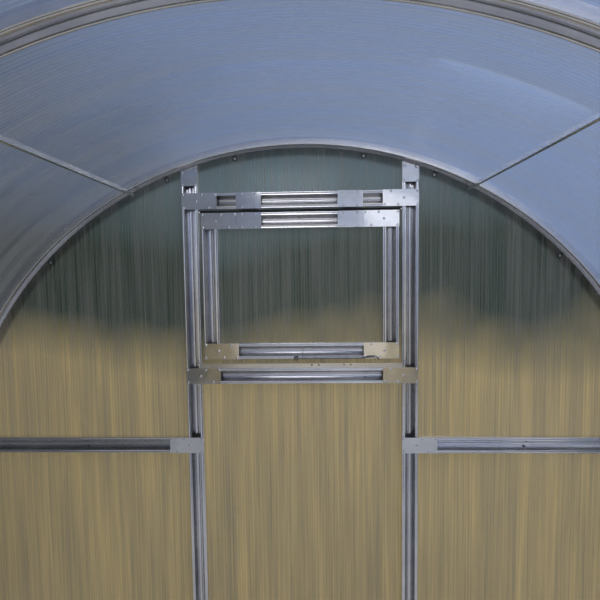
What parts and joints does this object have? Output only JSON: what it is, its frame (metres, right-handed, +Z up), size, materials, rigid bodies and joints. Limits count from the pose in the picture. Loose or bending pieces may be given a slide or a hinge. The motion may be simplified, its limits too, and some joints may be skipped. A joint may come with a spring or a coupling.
{
  "type": "polycarbonate greenhouse",
  "caption": "Arched walk-in greenhouse: lipped steel channel arches and end frames under twin wall polycarbonate, with a top hung vent window in one end and a door in the other.",
  "frame": {"origin": "on the ground, under the middle of the house", "axes": "+Y along the house to the end with the vent window, +X across it, +Z up"},
  "size_m": [3.016, 4.131, 2.1078],
  "materials": {
    "galvanised_channel": "roll formed galvanised steel, satin",
    "joint_plate": "flat galvanised sheet, satin",
    "zinc_fittings": "zinc plated",
    "roof_polycarbonate": "clear twin wall sheet, flutes round the arch",
    "end_polycarbonate": "clear twin wall sheet, flutes upright"
  },
  "bodies": {
    "root": {"arch_1": "galvanised_channel", "arch_2": "galvanised_channel", "arch_3": "galvanised_channel", "arch_4": "galvanised_channel", "arch_5": "galvanised_channel", "back_frame_plates": "joint_plate", "back_posts": "galvanised_channel", "back_sheet_bottom": "end_polycarbonate", "back_sheet_clips": "zinc_fittings", "back_sheet_left": "end_polycarbonate", "back_sheet_right": "end_polycarbonate", "back_sheet_top": "end_polycarbonate", "back_side_rails": "galvanised_channel", "back_sill_rail": "galvanised_channel", "back_top_rail": "galvanised_channel", "base_plates": "joint_plate", "base_rails_back": "galvanised_channel", "base_rails_front": "galvanised_channel", "base_rails_left": "galvanised_channel", "base_rails_right": "galvanised_channel", "door_handle": "zinc_fittings", "door_hinges": "zinc_fittings", "door_plates": "joint_plate", "door_rails": "galvanised_channel", "door_sheet": "end_polycarbonate", "door_stiles": "galvanised_channel", "front_frame_plates": "joint_plate", "front_posts": "galvanised_channel", "front_sheet_clips": "zinc_fittings", "front_sheet_left": "end_polycarbonate", "front_sheet_right": "end_polycarbonate", "front_sheet_top": "end_polycarbonate", "front_side_rails": "galvanised_channel", "front_top_rail": "galvanised_channel", "roof_sheet_back": "roof_polycarbonate", "roof_sheet_front": "roof_polycarbonate", "side_purlins": "galvanised_channel", "sill_strip": "galvanised_channel", "upper_purlins": "galvanised_channel", "vent_hinges": "zinc_fittings", "vent_hook": "zinc_fittings", "vent_plates": "joint_plate", "vent_rails": "galvanised_channel", "vent_sheet": "end_polycarbonate", "vent_stiles": "galvanised_channel"}
  },
  "joints": []
}
